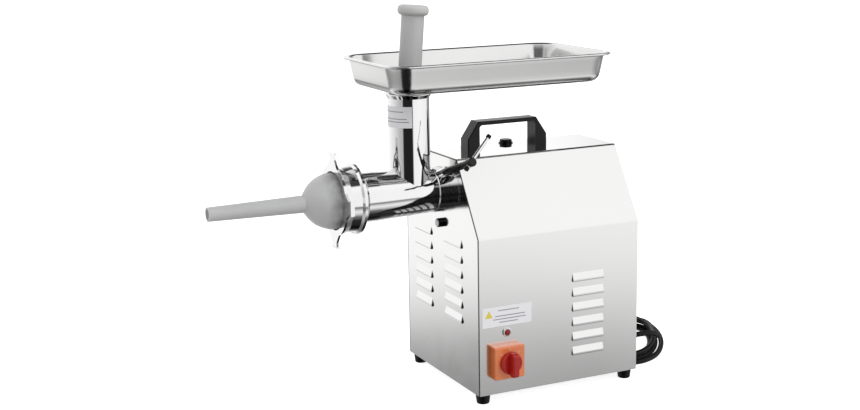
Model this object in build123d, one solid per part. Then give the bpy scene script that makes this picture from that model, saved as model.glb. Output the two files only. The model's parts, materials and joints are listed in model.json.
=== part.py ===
"""Bench meat grinder, number 12 size: sheet steel case, geared motor, polished head, tray and pusher.

Millimetres. +Z is up, the discharge end faces -Y and the controls face +X.
The origin lies on the resting plane, midway between the four feet.
"""

from build123d import *
from math import atan2, cos, pi, radians, sin, sqrt, tan
import os

# ---------------------------------------------------------------- driving dimensions
CASE_WIDTH, CASE_LENGTH, CASE_HEIGHT = 210.0, 233.0, 294.0
SIDE_HEIGHT, TOP_WIDTH, SHEET = 202.0, 95.4, 1.5
FOOT_HEIGHT, FOOT_INSET_X, FOOT_INSET_Y = 13.0, 12.0, 11.0
FOOT_TOP_R, FOOT_LOW_R = 9.6, 8.0
FRONT, BACK = -CASE_LENGTH / 2, CASE_LENGTH / 2
BASE = FOOT_HEIGHT
AXIS_Z = BASE + 248.2
FIT = 0.03  # radial clearance of a running fit
GAP = 0.3  # clearance between faces that slide freely past each other

# Head: lengths along the barrel are measured forward from the front panel.
NECK_R, NECK_DEPTH, COLLAR_PROUD, COLLAR_R = 25.0, 12.0, 14.0, 29.0
BARREL_FRONT, BARREL_R, BARREL_REAR_R = 138.0, 31.5, 28.0
PLATE_R, KNIFE_THICK = 35.0, 8.0
TUBE_Y, TUBE_R, TUBE_WALL, TUBE_TOP = FRONT - 42.4, 26.35, 2.0, BASE + 375.0
TUBE_LIP_R, TUBE_LIP_H = 29.6, 4.5
RING_FRONT, RING_BACK, RING_R, EAR_REACH = 148.0, 118.0, 42.0, 60.5
SPOUT_TIP = 308.7

# Tray and pusher.
TRAY_Y, TRAY_HALF_L, TRAY_HALF_W, TRAY_CORNER = FRONT + 54.0, 157.5, 89.5, 30.0
TRAY_BOTTOM, TRAY_RIM, TRAY_SLOPE, TRAY_THICK = BASE + 381.3, BASE + 418.9, 12.0, 1.2
TRAY_NECK_R, TRAY_NECK_DEPTH, TRAY_LIP, TRAY_BEND = 24.1, 22.0, 5.0, 13.0
TRAY_SHOULDER_R = 27.6
PUSHER_LEAN, PUSHER_R, PUSHER_CAP_R, PUSHER_CAP_H = 4.6, 14.5, 19.6, 13.0
PUSHER_TOP, PUSHER_BOTTOM, PUSHER_CAP_Y = BASE + 484.5, BASE + 282.0, FRONT - 33.0

# Auger and knife drive, then the stuffing funnel: stations and radii of its dome.
SQUARE, KNIFE_SQUARE, PIN_R = 18.0, 13.0, 6.4  # auger's drive square, knife square and front pin
FUNNEL_ROOT, FUNNEL_BASE, FUNNEL_WALL = -187.0, -145.0, 2.2
FUNNEL_CURVE = [
    (FUNNEL_ROOT, 11.0), (-182.4, 17.2), (-175.7, 24.8), (-167.3, 30.6), (-158.5, 34.0), (FUNNEL_BASE, 35.2),
]

# Locking screw with its sliding bar.
LOCK_R, LOCK_OFF, LOCK_TILT, LOCK_Y, LOCK_TIP = 4.6, 17.0, 18.0, FRONT - 7.5, 23.0
LOCK_BOSS_END, HUB_FROM, HUB_TO, HUB_R = 42.0, 107.0, 119.0, 5.6
BAR_R, BAR_TILT, BAR_UP, BAR_DOWN, CAP_R_BAR, CAP_LONG = 2.3, 45.0, 39.0, 7.0, 3.2, 5.0

# Case sheet: returns, seam and pressed louvres.
RETURN, BOTTOM_RETURN, SEAM = 12.0, 28.0, 0.25
FLOOR_TOP = BASE + 2 * SHEET
LOUVRE_H, LOUVRE_PROUD, LOUVRE_PITCH, LOUVRES = 11.5, 2.2, 19.6, 6
LOUVRE_LIP, LOUVRE_SKIN = 0.5, 0.8
FRONT_LOUVRE_L, SIDE_LOUVRE_L = 48.0, 46.5

# Gear train: two reductions, one above the other in the plane x = 0.
MODULE_OUT, TEETH_OUT, TEETH_PINION = 2.5, 30, 13
MODULE_IN, TEETH_MID, TEETH_MOTOR = 2.0, 36, 12
MID_Z = AXIS_Z - MODULE_OUT * (TEETH_OUT + TEETH_PINION) / 2
MOTOR_Z = MID_Z - MODULE_IN * (TEETH_MID + TEETH_MOTOR) / 2
BACKLASH = 0.35  # total play between flanks, shared by the two gears of a pair

# Stations along y of the drive, measured back from the front panel.
BOX_FRONT, BOX_WALL, BOX_BACK, COVER_BACK = 56.0, 5.0, 100.0, 106.0
GEAR_OUT_AT, GEAR_OUT_WIDE, GEAR_IN_AT, GEAR_IN_WIDE = 68.0, 14.0, 84.0, 10.0
MOTOR_FRONT, MOTOR_BACK, MOTOR_R = 110.0, 204.0, 59.0
SHELL_IN, STATOR_IN, ROTOR_R = 56.0, 30.6, 30.0
STACK_FROM, STACK_TO = 130.0, 186.0
BOX_R = 43.9
OUT_BEARING, MID_BEARING, REAR_BEARING = (10.0, 21.0, 12.0), (8.5, 16.0, 10.0), (8.5, 17.5, 10.0)
MOTOR_BEARING = (8.0, 17.5, 10.0)
COLLAR_BACK, SEAT_FROM = BOX_FRONT, 16.0
CAP_X, CAP_R = -80.0, 17.5

# Switch, lamp and buttons.
SWITCH_Y, SWITCH_Z, SWITCH_SIDE, SWITCH_DEEP = FRONT + 37.3, BASE + 42.9, 42.5, 12.0
KNOB_R, GRIP_HALF, GRIP_OUT = 14.4, 15.8, 17.0
LAMP_Y, LAMP_Z, LAMP_R, LENS_R = FRONT + 39.4, BASE + 79.2, 6.0, 4.2
BUTTON_X, BUTTON_Z = 3.0, BASE + 205.0
LABEL_Y, LABEL_Z, LABEL_L, LABEL_H = FRONT + 39.7, BASE + 101.2, 70.0, 25.5
BUTTON_R, SLEEVE_R, SLEEVE_OUT = 4.6, 5.9, 6.5

# Carrying handle on the top.
HANDLE_Y0, HANDLE_Y1, HANDLE_W, HANDLE_LEG = FRONT + 35.3, FRONT + 151.0, 22.0, 17.0
HANDLE_TOP, HANDLE_BAR, HANDLE_SHOULDER = BASE + 332.5, 5.0, BASE + 310.0

# Blanking plug in the top sheet.
STOPPER_X, STOPPER_Y, STOPPER_R, STOPPER_H = -31.3, FRONT + 112.6, 8.2, 5.2

# Mains lead.
CORD_D = 7.2
GLAND_X, GLAND_Z, RELIEF = 62.0, BASE + 31.0, 24.0
CORD_ROUTE = [
    (GLAND_X, BACK + 4 + RELIEF, GLAND_Z), (62.0, BACK + 46.0, GLAND_Z), (57.5, BACK + 61.0, 39.0),
    (47.5, BACK + 73.0, 31.5), (32.0, BACK + 82.0, 26.0), (13.0, BACK + 88.5, 23.0),
]
COIL_A, COIL_B, COIL_BAND, COIL_H = 92.0, 46.0, 24.0, 22.0
COIL_PLACE = Location((-20.0, BACK + 70.0, 0), (0, 0, -34.8))
PLUG_L, PLUG_W, PLUG_H, PIN_SPACING, PIN_L = 40.0, 34.0, 24.0, 19.0, 19.0
PLUG_Y_IN_COIL = COIL_BAND / 2 - COIL_B

SIDE_X = CASE_WIDTH / 2
TOP_Z = BASE + CASE_HEIGHT


# ---------------------------------------------------------------- small helpers
def save(shape, name):
    """Write one sub-part, under its own name."""
    os.makedirs("parts", exist_ok=True)
    export_step(shape, f"parts/{name}.step")


def rod(radius, y0, y1, x=0.0, z=0.0):
    """A cylinder along y, from y0 to y1."""
    lo, hi = min(y0, y1), max(y0, y1)
    return Location((x, (lo + hi) / 2, z), (90, 0, 0)) * Cylinder(radius, hi - lo)


def post(radius, z0, z1, x=0.0, y=0.0):
    """A cylinder along z, from z0 to z1."""
    return Location((x, y, (z0 + z1) / 2)) * Cylinder(radius, z1 - z0)


def stub(radius, x0, x1, y=0.0, z=0.0):
    """A cylinder along x, from x0 to x1."""
    return Location(((x0 + x1) / 2, y, z), (0, 90, 0)) * Cylinder(radius, x1 - x0)


def block(x0, x1, y0, y1, z0, z1):
    """A box between two corners."""
    return Location(((x0 + x1) / 2, (y0 + y1) / 2, (z0 + z1) / 2)) * Box(x1 - x0, y1 - y0, z1 - z0)


def at(station):
    """The y of a station measured back from the front panel."""
    return FRONT + station


def group(shapes):
    """Separate solids kept in one node."""
    return Compound(children=list(shapes))


def xz_slab(face, y0, y1):
    """A face drawn in x and z, made a slab from y0 to y1."""
    return extrude(Plane((0, y1, 0), x_dir=(1, 0, 0), z_dir=(0, -1, 0)) * face, y1 - y0, dir=(0, -1, 0))


def turned(points):
    """A solid of revolution about the barrel axis from points (radius, y)."""
    line = Polyline(*[(0, y, AXIS_Z + r) for r, y in points], close=True)
    return revolve(make_face(line), Axis((0, 0, AXIS_Z), (0, 1, 0)))


# ---------------------------------------------------------------- case
def case_outline(inset, bottom):
    """The bent cover's outline in x and z, moved in by inset, its foot at bottom."""
    w, t = CASE_WIDTH / 2, TOP_WIDTH / 2
    slope = atan2(CASE_HEIGHT - SIDE_HEIGHT, w - t)
    at_side = inset * tan((pi / 2 - slope) / 2)
    at_top = inset * tan(slope / 2)
    side = (w - inset, BASE + SIDE_HEIGHT - at_side)
    top = (t - at_top, TOP_Z - inset)
    right = [(w - inset, bottom), side, top]
    left = [(-x, z) for x, z in reversed(right)]
    outline = Polygon(*right, *left, align=None)
    bends = [v for v in outline.vertices() if v.Y > bottom + 1]
    return fillet(bends, max(4.0 - inset, 0.5))


def louvre(length):
    """A pressed louvre in a wall whose outer face is y = 0: its hood, and the space to cut."""
    back = LOUVRE_SKIN - LOUVRE_PROUD
    hood = Polygon(
        (0, LOUVRE_H), (-LOUVRE_PROUD, 3), (-LOUVRE_PROUD, 1.4), (LOUVRE_LIP - LOUVRE_PROUD, 0), (1, 0),
        (1, LOUVRE_H), align=None,
    )
    hollow = Polygon(
        (3, LOUVRE_H - 2.6), (0, LOUVRE_H - 2.6), (back, 3), (back, -0.5), (0, -0.5), (0, 0), (3, 0),
        align=None,
    )
    across = Plane((-length / 2, 0, 0), x_dir=(0, 1, 0), z_dir=(1, 0, 0))
    outer = extrude(across * hood, length)
    ends = [e for e in outer.edges() if abs(abs(e.center().X) - length / 2) < 0.01 and e.center().Y < -1]
    outer = chamfer(ends, 0.5)
    inside = Plane((-length / 2 + 1.8, 0, 0), x_dir=(0, 1, 0), z_dir=(1, 0, 0))
    return outer, extrude(inside * hollow, length - 3.6)


def with_louvres(wall, length, places):
    """The wall with a louvre pressed in it at each place."""
    hood, hollow = louvre(length)
    wall = wall + [p * hood for p in places]
    return wall - [p * hollow for p in places]


def side_louvres(side):
    """Places of the louvres on one side wall; side is 1 or -1."""
    turn = 90 if side > 0 else -90
    y = FRONT + 157.8
    return [
        Location((side * SIDE_X, y, BASE + 33.8 + k * LOUVRE_PITCH), (0, 0, turn)) for k in range(LOUVRES)
    ]


def end_louvres(y, turn, sign):
    """Places of two columns of louvres on an end panel."""
    return [
        Location((sign * x, y, BASE + 84.0 + k * LOUVRE_PITCH), (0, 0, turn))
        for x in (-52.0, 36.0)
        for k in range(LOUVRES)
    ]


def wrap_cover():
    """Sides, slopes and top in one bent sheet."""
    sheet = xz_slab(case_outline(0, BASE) - case_outline(SHEET, BASE - 5), FRONT, BACK)
    back_flange = case_outline(SHEET, BASE) - case_outline(RETURN, BASE - 1)
    sheet += xz_slab(back_flange, BACK - 2 * SHEET - 0.1, BACK - SHEET - 0.1)
    for s in (1, -1):
        x0, x1 = sorted((s * (SIDE_X - BOTTOM_RETURN), s * (SIDE_X - 0.5)))
        sheet += block(x0, x1, FRONT + 2, BACK - 2, BASE, BASE + SHEET)
    sheet = with_louvres(sheet, SIDE_LOUVRE_L, side_louvres(1) + side_louvres(-1))
    sheet -= stub(13, SIDE_X - 5, SIDE_X + 5, SWITCH_Y, SWITCH_Z)
    sheet -= stub(LENS_R + 0.8, SIDE_X - 5, SIDE_X + 5, LAMP_Y, LAMP_Z)
    sheet -= post(6, TOP_Z - 5, TOP_Z + 5, STOPPER_X, STOPPER_Y)
    for y in handle_screw_ys():
        sheet -= post(3, TOP_Z - 5, TOP_Z + 5, 0, y)
    for x, z in panel_screw_points():
        sheet -= rod(1.7, BACK - 5, BACK, x, z)
    for x, y in foot_places():
        sheet -= post(2.6, BASE - 1, BASE + 3, x, y)
    return sheet


def front_panel():
    """Flush front panel with its folded edges, pierced for the collar and the reset button."""
    panel = xz_slab(case_outline(SHEET + SEAM, BASE), FRONT, FRONT + SHEET)
    rim = case_outline(SHEET + SEAM, BASE - 5) - case_outline(2 * SHEET + SEAM, BASE - 6)
    fold = xz_slab(rim, FRONT, FRONT + RETURN)
    panel += fold - block(-200, 200, -300, 300, -50, BASE + 20)
    panel = with_louvres(panel, FRONT_LOUVRE_L, end_louvres(FRONT, 0, 1))
    panel -= rod(COLLAR_R + GAP, FRONT - 5, FRONT + 5, 0, AXIS_Z)
    return panel - rod(SLEEVE_R - 0.4, FRONT - 5, FRONT + 5, BUTTON_X, BUTTON_Z)


def back_panel():
    """Flush back panel, screwed to the cover's rear flange."""
    panel = xz_slab(case_outline(SHEET + SEAM, BASE), BACK - SHEET, BACK)
    panel = with_louvres(panel, FRONT_LOUVRE_L, end_louvres(BACK, 180, -1))
    for x, z in panel_screw_points():
        panel -= rod(2.1, BACK - 5, BACK + 1, x, z)
    return panel - rod(6.0, BACK - 5, BACK + 5, GLAND_X, GLAND_Z)


def panel_screw_points():
    """Six places round the edge of the back panel."""
    x = SIDE_X - (SHEET + RETURN) / 2
    return [(s * px, pz) for s in (1, -1) for px, pz in ((x, BASE + 22), (x, BASE + 180), (34, TOP_Z - 6.8))]


def panel_screws():
    """Pan head screws of the back panel."""
    out = []
    for x, z in panel_screw_points():
        head = rod(3.4, BACK, BACK + 2, x, z)
        head = fillet([e for e in head.edges() if e.center().Y > BACK + 1.9], 1.2)
        out.append(head + rod(1.65, BACK - 9, BACK + 1, x, z))
    return group(out)


def base_plate():
    """Floor of the case, resting on the cover's bottom flanges, its side edges folded up."""
    x, y, z = SIDE_X - SHEET - SEAM, BACK - 2 * SHEET - 0.4, BASE + SHEET
    plate = block(-x, x, -y, y, z, z + SHEET)
    for s in (1, -1):
        x0, x1 = sorted((s * x, s * (x - SHEET)))
        plate += block(x0, x1, -y + RETURN, y - 1, z, z + 12)
    for hole_x, hole_y in foot_places() + bracket_holes():
        plate -= post(2.6, BASE - 1, BASE + 5, hole_x, hole_y)
    return plate


def foot_places():
    x, y = CASE_WIDTH / 2 - FOOT_INSET_X, CASE_LENGTH / 2 - FOOT_INSET_Y
    return [(sx * x, sy * y) for sx in (1, -1) for sy in (1, -1)]


def rubber_feet():
    """Four tapered rubber feet, each recessed below for its screw."""
    out = []
    for x, y in foot_places():
        foot = Location((x, y, FOOT_HEIGHT / 2)) * Cone(FOOT_LOW_R, FOOT_TOP_R, FOOT_HEIGHT)
        foot = fillet(foot.edges().filter_by(GeomType.CIRCLE).sort_by(Axis.Z)[0], 1.6)
        foot -= post(4.6, -1, 5, x, y) + post(2.6, -1, FOOT_HEIGHT + 1, x, y)
        out.append(foot)
    return group(out)


def foot_screws():
    """A screw with its nut in each foot."""
    out = []
    for x, y in foot_places():
        out.append(post(4.2, 2.0, 5.0, x, y) + post(2.45, 4, FLOOR_TOP + 6, x, y))
        nut = extrude(Location((x, y, FLOOR_TOP)) * RegularPolygon(4.6, 6), 4)
        out.append(nut - post(2.5, BASE, FLOOR_TOP + 9, x, y))
    return group(out)


# ---------------------------------------------------------------- top of the case
def handle_screw_ys():
    return (HANDLE_Y0 + HANDLE_LEG / 2, HANDLE_Y1 - HANDLE_LEG / 2)


def carry_handle():
    """Moulded bow handle with chamfered shoulders."""
    shoulder = 15.2
    yz = Plane((-HANDLE_W / 2, 0, 0), x_dir=(0, 1, 0), z_dir=(1, 0, 0))
    outer = Polygon(
        (HANDLE_Y0, TOP_Z), (HANDLE_Y1, TOP_Z), (HANDLE_Y1, HANDLE_SHOULDER),
        (HANDLE_Y1 - shoulder, HANDLE_TOP), (HANDLE_Y0 + shoulder, HANDLE_TOP),
        (HANDLE_Y0, HANDLE_SHOULDER), align=None,
    )
    y0, y1, top = HANDLE_Y0 + HANDLE_LEG, HANDLE_Y1 - HANDLE_LEG, HANDLE_TOP - HANDLE_BAR
    opening = Polygon((y0, TOP_Z - 1), (y1, TOP_Z - 1), (y1, top), (y0, top), align=None)
    opening = fillet(opening.vertices().group_by(Axis.Y)[-1], 4)
    bow = extrude(yz * outer, HANDLE_W)
    bow = fillet([e for e in bow.edges() if e.center().Z > TOP_Z + 1 and abs(e.center().X) > 10], 1.5)
    bow -= extrude(yz * opening, HANDLE_W)
    for y in handle_screw_ys():
        bow -= post(2.0, TOP_Z - 1, TOP_Z + 18, 0, y)
    return bow


def handle_screws():
    """Screws up through the top sheet into the handle's legs."""
    out = []
    for y in handle_screw_ys():
        z = TOP_Z - SHEET
        out.append(post(4.0, z - 3, z, 0, y) + post(1.95, z - 1, TOP_Z + 16, 0, y))
    return group(out)


def breather_plug():
    """Black plug snapped in the top sheet beside the handle."""
    cap = post(STOPPER_R, TOP_Z + 0.8, TOP_Z + STOPPER_H, STOPPER_X, STOPPER_Y)
    cap = fillet(cap.edges().filter_by(GeomType.CIRCLE).sort_by(Axis.Z)[-1], 1)
    flange = post(STOPPER_R + 1.3, TOP_Z, TOP_Z + 1.2, STOPPER_X, STOPPER_Y)
    return cap + flange + post(5.9, TOP_Z - 6.5, TOP_Z + 1, STOPPER_X, STOPPER_Y)


# ---------------------------------------------------------------- controls
def switch_box():
    """Square switch housing on the side wall, open behind its face for the knob's disc."""
    h = SWITCH_SIDE / 2
    box = block(SIDE_X, SIDE_X + SWITCH_DEEP, SWITCH_Y - h, SWITCH_Y + h, SWITCH_Z - h, SWITCH_Z + h)
    box = fillet([e for e in box.edges() if e.center().X > SIDE_X + 1], 1.8)
    return box - stub(4.2, SIDE_X - 1, SIDE_X + 20, SWITCH_Y, SWITCH_Z)


def switch_body():
    """Cam switch behind the side wall, with a bore for the knob's spindle."""
    h, x1 = SWITCH_SIDE / 2 - 1, SIDE_X - SHEET
    body = block(x1 - 42, x1, SWITCH_Y - h, SWITCH_Y + h, SWITCH_Z - h, SWITCH_Z + h)
    body = chamfer(body.edges().filter_by(Axis.X), 3)
    body += stub(12.5, x1 - 1, SIDE_X, SWITCH_Y, SWITCH_Z)
    for k in range(3):
        z = SWITCH_Z - 12 + 12 * k
        body -= block(x1 - 34, x1 - 26, SWITCH_Y + 16, SWITCH_Y + 24, z - 3, z + 3)
    return body - stub(3.0 + FIT, x1 - 30, SIDE_X + 1, SWITCH_Y, SWITCH_Z)


def switch_knob():
    """Rotary knob: round disc, raised grip and the spindle behind it."""
    face = SIDE_X + SWITCH_DEEP + GAP
    disc = stub(KNOB_R, face, face + 6, SWITCH_Y, SWITCH_Z)
    disc = fillet([e for e in disc.edges() if e.center().X > face + 5], 1.5)
    low, high = SWITCH_Z - GRIP_HALF, SWITCH_Z + GRIP_HALF
    grip = block(face + 4, face + GRIP_OUT, SWITCH_Y - 4.2, SWITCH_Y + 4.2, low, high)
    grip = fillet(grip.edges().filter_by(Axis.Y), 4.5)
    grip = fillet([e for e in grip.edges() if e.center().X > face + GRIP_OUT - 0.1], 1.6)
    return disc + grip + stub(3.0, SIDE_X - SHEET - 28, face + 1, SWITCH_Y, SWITCH_Z)


def lamp_bezel():
    """Chromed ring of the running lamp."""
    ring = stub(LAMP_R, SIDE_X, SIDE_X + 1.8, LAMP_Y, LAMP_Z)
    ring = fillet([e for e in ring.edges() if e.center().X > SIDE_X + 1.7], 0.8)
    ring += stub(LENS_R + 0.7, SIDE_X - 12, SIDE_X + 1, LAMP_Y, LAMP_Z)
    return ring - stub(LENS_R + 0.02, SIDE_X - 14, SIDE_X + 3, LAMP_Y, LAMP_Z)


def lamp_lens():
    """Red domed lens and lamp body inside the bezel."""
    lens = stub(LENS_R, SIDE_X - 16, SIDE_X + 3.2, LAMP_Y, LAMP_Z)
    return fillet([e for e in lens.edges() if e.center().X > SIDE_X + 3], 2.2)


def button_bezel():
    """Black sleeve of the reset button, threaded through the front panel, with the cut-out behind it."""
    ring = rod(SLEEVE_R, FRONT - SLEEVE_OUT, FRONT, BUTTON_X, BUTTON_Z)
    ring = chamfer([e for e in ring.edges() if e.center().Y < FRONT - SLEEVE_OUT + 0.1], 0.5)
    ring += rod(SLEEVE_R - 0.5, FRONT - 1, FRONT + 10, BUTTON_X, BUTTON_Z)
    ring += rod(9.0, FRONT + SHEET, FRONT + 4, BUTTON_X, BUTTON_Z)
    ring += rod(8.0, FRONT + 8, FRONT + 26, BUTTON_X, BUTTON_Z)
    return ring - rod(BUTTON_R + 0.2, FRONT - SLEEVE_OUT - 1, FRONT + 20, BUTTON_X, BUTTON_Z)


def reset_button():
    """Push button of the overload cut-out, standing a little out of its sleeve."""
    cap = rod(BUTTON_R, FRONT - SLEEVE_OUT - 1.5, FRONT + 14, BUTTON_X, BUTTON_Z)
    return fillet([e for e in cap.edges() if e.center().Y < FRONT - SLEEVE_OUT - 1], 1.0)


def side_label():
    """Blank adhesive label on the side wall."""
    h, d = LABEL_L / 2, LABEL_H / 2
    label = block(SIDE_X, SIDE_X + 0.3, LABEL_Y - h, LABEL_Y + h, LABEL_Z - d, LABEL_Z + d)
    return fillet(label.edges().filter_by(Axis.X), 1.5)


# ---------------------------------------------------------------- gears
def involute(base_r, roll):
    """Point of an involute at a roll angle, and its polar angle."""
    return base_r * sqrt(1 + roll * roll), roll - atan2(roll, 1)


def gear_face(module, teeth):
    """Spur gear outline, a tooth centred on +Z, in x and z."""
    pitch_r = module * teeth / 2
    base_r = pitch_r * cos(radians(20))
    tip_r, root_r = pitch_r + module, pitch_r - 1.25 * module
    half = pi / (2 * teeth) - BACKLASH / 4 / pitch_r
    inv_pitch = tan(radians(20)) - radians(20)
    low_r = max(base_r, root_r)
    rolls = [sqrt((low_r + (tip_r - low_r) * k / 5) ** 2 / base_r**2 - 1) for k in range(6)]
    flank = [involute(base_r, t) for t in rolls]
    low = half + inv_pitch - flank[0][1]
    side = [(root_r, low)] if root_r < base_r else []
    side += [(r, half + inv_pitch - a) for r, a in flank]
    points = []
    for n in range(teeth):
        mid = -2 * pi * n / teeth
        tooth = [(r, mid + a) for r, a in side] + [(r, mid - a) for r, a in reversed(side)]
        points += [(r * sin(a), r * cos(a)) for r, a in tooth]
    return Polygon(*points, align=None)


def gear(module, teeth, station, width, z, turn):
    """A spur gear about an axis along y at height z, turned by an angle in degrees."""
    slab = xz_slab(gear_face(module, teeth), at(station), at(station + width))
    return Location((0, 0, z)) * Rotation(0, turn, 0) * slab


def half_tooth(teeth):
    """Turn that puts a gap where a tooth was, to meet the lowest tooth of the wheel above."""
    return 180 / teeth


# ---------------------------------------------------------------- gearbox
def stadium(radius):
    """Two half circles joined, about the output and motor axes."""
    low = MOTOR_Z - 1.5
    shape = Location((0, (AXIS_Z + low) / 2)) * Rectangle(2 * radius, AXIS_Z - low)
    return shape + Location((0, AXIS_Z)) * Circle(radius) + Location((0, low)) * Circle(radius)


def screw_ring(radius, count, start, z):
    """Points of a ring of screws in x and z."""
    turns = [radians(start + 360 * k / count) for k in range(count)]
    return [(radius * sin(a), z + radius * cos(a)) for a in turns]


def case_screw_points():
    """Six screws round the waist and foot of the gear case, clear of the wheels."""
    one_side = [(40, MID_Z + 18.5), (40, MOTOR_Z + 12), (28, MOTOR_Z - 31)]
    return [(s * x, z) for s in (1, -1) for x, z in one_side]


def gearbox_body():
    """Cast gear case: front wall, rim and bearing boss of the layshaft."""
    outer, inner = stadium(BOX_R), stadium(BOX_R - 3)
    for x, z in case_screw_points():
        inner -= Location((x, z)) * Circle(5.2)
    body = xz_slab(outer, at(BOX_FRONT), at(BOX_BACK))
    body -= xz_slab(inner, at(BOX_FRONT + BOX_WALL), at(BOX_BACK + 1))
    body += rod(20, at(BOX_FRONT + 1), at(BOX_FRONT + 10), 0, MID_Z)
    body -= rod(MID_BEARING[1], at(BOX_FRONT - 1), at(BOX_FRONT + 11), 0, MID_Z)
    body -= rod(OUT_BEARING[0] + 4, at(BOX_FRONT - 1), at(BOX_FRONT + 6), 0, AXIS_Z)
    for x, z in case_screw_points():
        body -= rod(2.1, at(BOX_BACK - 16), at(BOX_BACK + 1), x, z)
    for x, z in screw_ring(36, 4, 45, AXIS_Z):
        body -= rod(2.1, at(BOX_FRONT - 1), at(BOX_FRONT + 6), x, z)
    return body


def gearbox_cover():
    """Rear cover of the gear case, with seats for the two shafts and a hole for the motor's."""
    cover = xz_slab(stadium(BOX_R), at(BOX_BACK), at(COVER_BACK))
    for z in (AXIS_Z, MID_Z):
        cover += rod(21, at(BOX_BACK + 1), at(MOTOR_FRONT), 0, z)
    cover -= rod(REAR_BEARING[1], at(BOX_BACK - 1), at(MOTOR_FRONT), 0, AXIS_Z)
    cover -= rod(MID_BEARING[1], at(BOX_BACK - 1), at(MOTOR_FRONT), 0, MID_Z)
    cover -= rod(14, at(BOX_BACK - 1), at(COVER_BACK + 1), 0, MOTOR_Z)
    for x, z in case_screw_points():
        cover -= rod(2.6, at(BOX_BACK - 1), at(COVER_BACK + 1), x, z)
    return cover


def gearbox_screws():
    """Hexagon screws that close the gear case."""
    out = []
    for x, z in case_screw_points():
        head = xz_slab(Location((x, z)) * RegularPolygon(4.6, 6), at(COVER_BACK), at(COVER_BACK + 3.5))
        out.append(head + rod(2.05, at(BOX_BACK - 14), at(COVER_BACK + 1), x, z))
    return group(out)


def socket_collar():
    """Collar that takes the head's neck, with a boss for the locking screw and a rear flange."""
    collar = rod(COLLAR_R, at(-COLLAR_PROUD), at(COLLAR_BACK), 0, AXIS_Z)
    collar = chamfer([e for e in collar.edges() if e.center().Y < at(-COLLAR_PROUD + 0.1)], 1.2)
    collar += rod(43, at(COLLAR_BACK - 5), at(COLLAR_BACK), 0, AXIS_Z)
    collar += along_screw(6.3, 22, LOCK_BOSS_END)
    collar -= rod(NECK_R + FIT, at(-COLLAR_PROUD - 1), at(SEAT_FROM), 0, AXIS_Z)
    collar -= rod(OUT_BEARING[1], at(SEAT_FROM - 1), at(COLLAR_BACK + 1), 0, AXIS_Z)
    for x, z in screw_ring(36, 4, 45, AXIS_Z):
        collar -= rod(2.6, at(COLLAR_BACK - 6), at(COLLAR_BACK + 1), x, z)
    return collar - along_screw(LOCK_R + FIT, 10, LOCK_BOSS_END + 1)


def collar_screws():
    """Four screws through the collar's flange into the gear case."""
    out = []
    for x, z in screw_ring(36, 4, 45, AXIS_Z):
        head = rod(4.0, at(COLLAR_BACK - 9), at(COLLAR_BACK - 5), x, z)
        out.append(head + rod(2.05, at(COLLAR_BACK - 6), at(COLLAR_BACK + 4.8), x, z))
    return group(out)


def ball_bearing(sizes, station, z):
    """A ball bearing: two grooved rings and the balls between them, in one solid."""
    bore, outer, width = sizes
    y0, y1 = at(station), at(station + width)
    ring = rod(outer, y0, y1, 0, z) - rod(bore + FIT, y0 - 1, y1 + 1, 0, z)
    mid, half = (outer + bore) / 2, (outer - bore) * 0.16
    for y_a, y_b in ((y0 - 1, y0 + 1.2), (y1 - 1.2, y1 + 1)):
        ring -= rod(mid + half, y_a, y_b, 0, z) - rod(mid - half, y_a - 1, y_b + 1, 0, z)
    return ring


def gearbox_bearings():
    """Bearings of the output shaft and the layshaft."""
    return group([
        ball_bearing(OUT_BEARING, 30, AXIS_Z),
        ball_bearing(REAR_BEARING, BOX_BACK, AXIS_Z),
        ball_bearing(MID_BEARING, BOX_FRONT, MID_Z),
        ball_bearing(MID_BEARING, BOX_BACK, MID_Z),
    ])


def output_shaft():
    """Slow shaft: square drive socket in front, bearing journals and gear seat behind."""
    shaft = rod(17, at(SEAT_FROM + 0.5), at(29.5), 0, AXIS_Z)
    shaft += rod(10, at(29), at(GEAR_OUT_AT + GEAR_OUT_WIDE + 8), 0, AXIS_Z)
    shaft += rod(8.5, at(GEAR_OUT_AT + GEAR_OUT_WIDE), at(BOX_BACK + 9.5), 0, AXIS_Z)
    side = SQUARE / 2 + 0.15
    return shaft - block(-side, side, at(0), at(28), AXIS_Z - side, AXIS_Z + side)


def output_gear():
    """Thirty tooth wheel on the slow shaft, lightened by a web on each face."""
    wheel = gear(MODULE_OUT, TEETH_OUT, GEAR_OUT_AT, GEAR_OUT_WIDE, AXIS_Z, 0)
    y0, y1 = at(GEAR_OUT_AT), at(GEAR_OUT_AT + GEAR_OUT_WIDE)
    for y_a, y_b in ((y0 - 1, y0 + 3), (y1 - 3, y1 + 1)):
        wheel -= rod(30, y_a, y_b, 0, AXIS_Z) - rod(17, y_a - 1, y_b + 1, 0, AXIS_Z)
    return wheel - rod(10 + FIT, y0 - 1, y1 + 1, 0, AXIS_Z)


def layshaft():
    """Intermediate shaft with its thirteen tooth pinion cut on it."""
    pinion = gear(MODULE_OUT, TEETH_PINION, GEAR_OUT_AT, GEAR_OUT_WIDE, MID_Z, half_tooth(TEETH_PINION))
    shaft = rod(8.5, at(BOX_FRONT + 0.5), at(BOX_BACK + 9.5), 0, MID_Z)
    return shaft + pinion


def layshaft_gear():
    """Thirty-six tooth wheel driven by the motor's pinion."""
    wheel = gear(MODULE_IN, TEETH_MID, GEAR_IN_AT, GEAR_IN_WIDE, MID_Z, 0)
    y0, y1 = at(GEAR_IN_AT), at(GEAR_IN_AT + GEAR_IN_WIDE)
    wheel -= [rod(5, y0 - 1, y1 + 1, x, z) for x, z in screw_ring(22, 6, 0, MID_Z)]
    return wheel - rod(8.5 + FIT, y0 - 1, y1 + 1, 0, MID_Z)


# ---------------------------------------------------------------- motor


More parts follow.
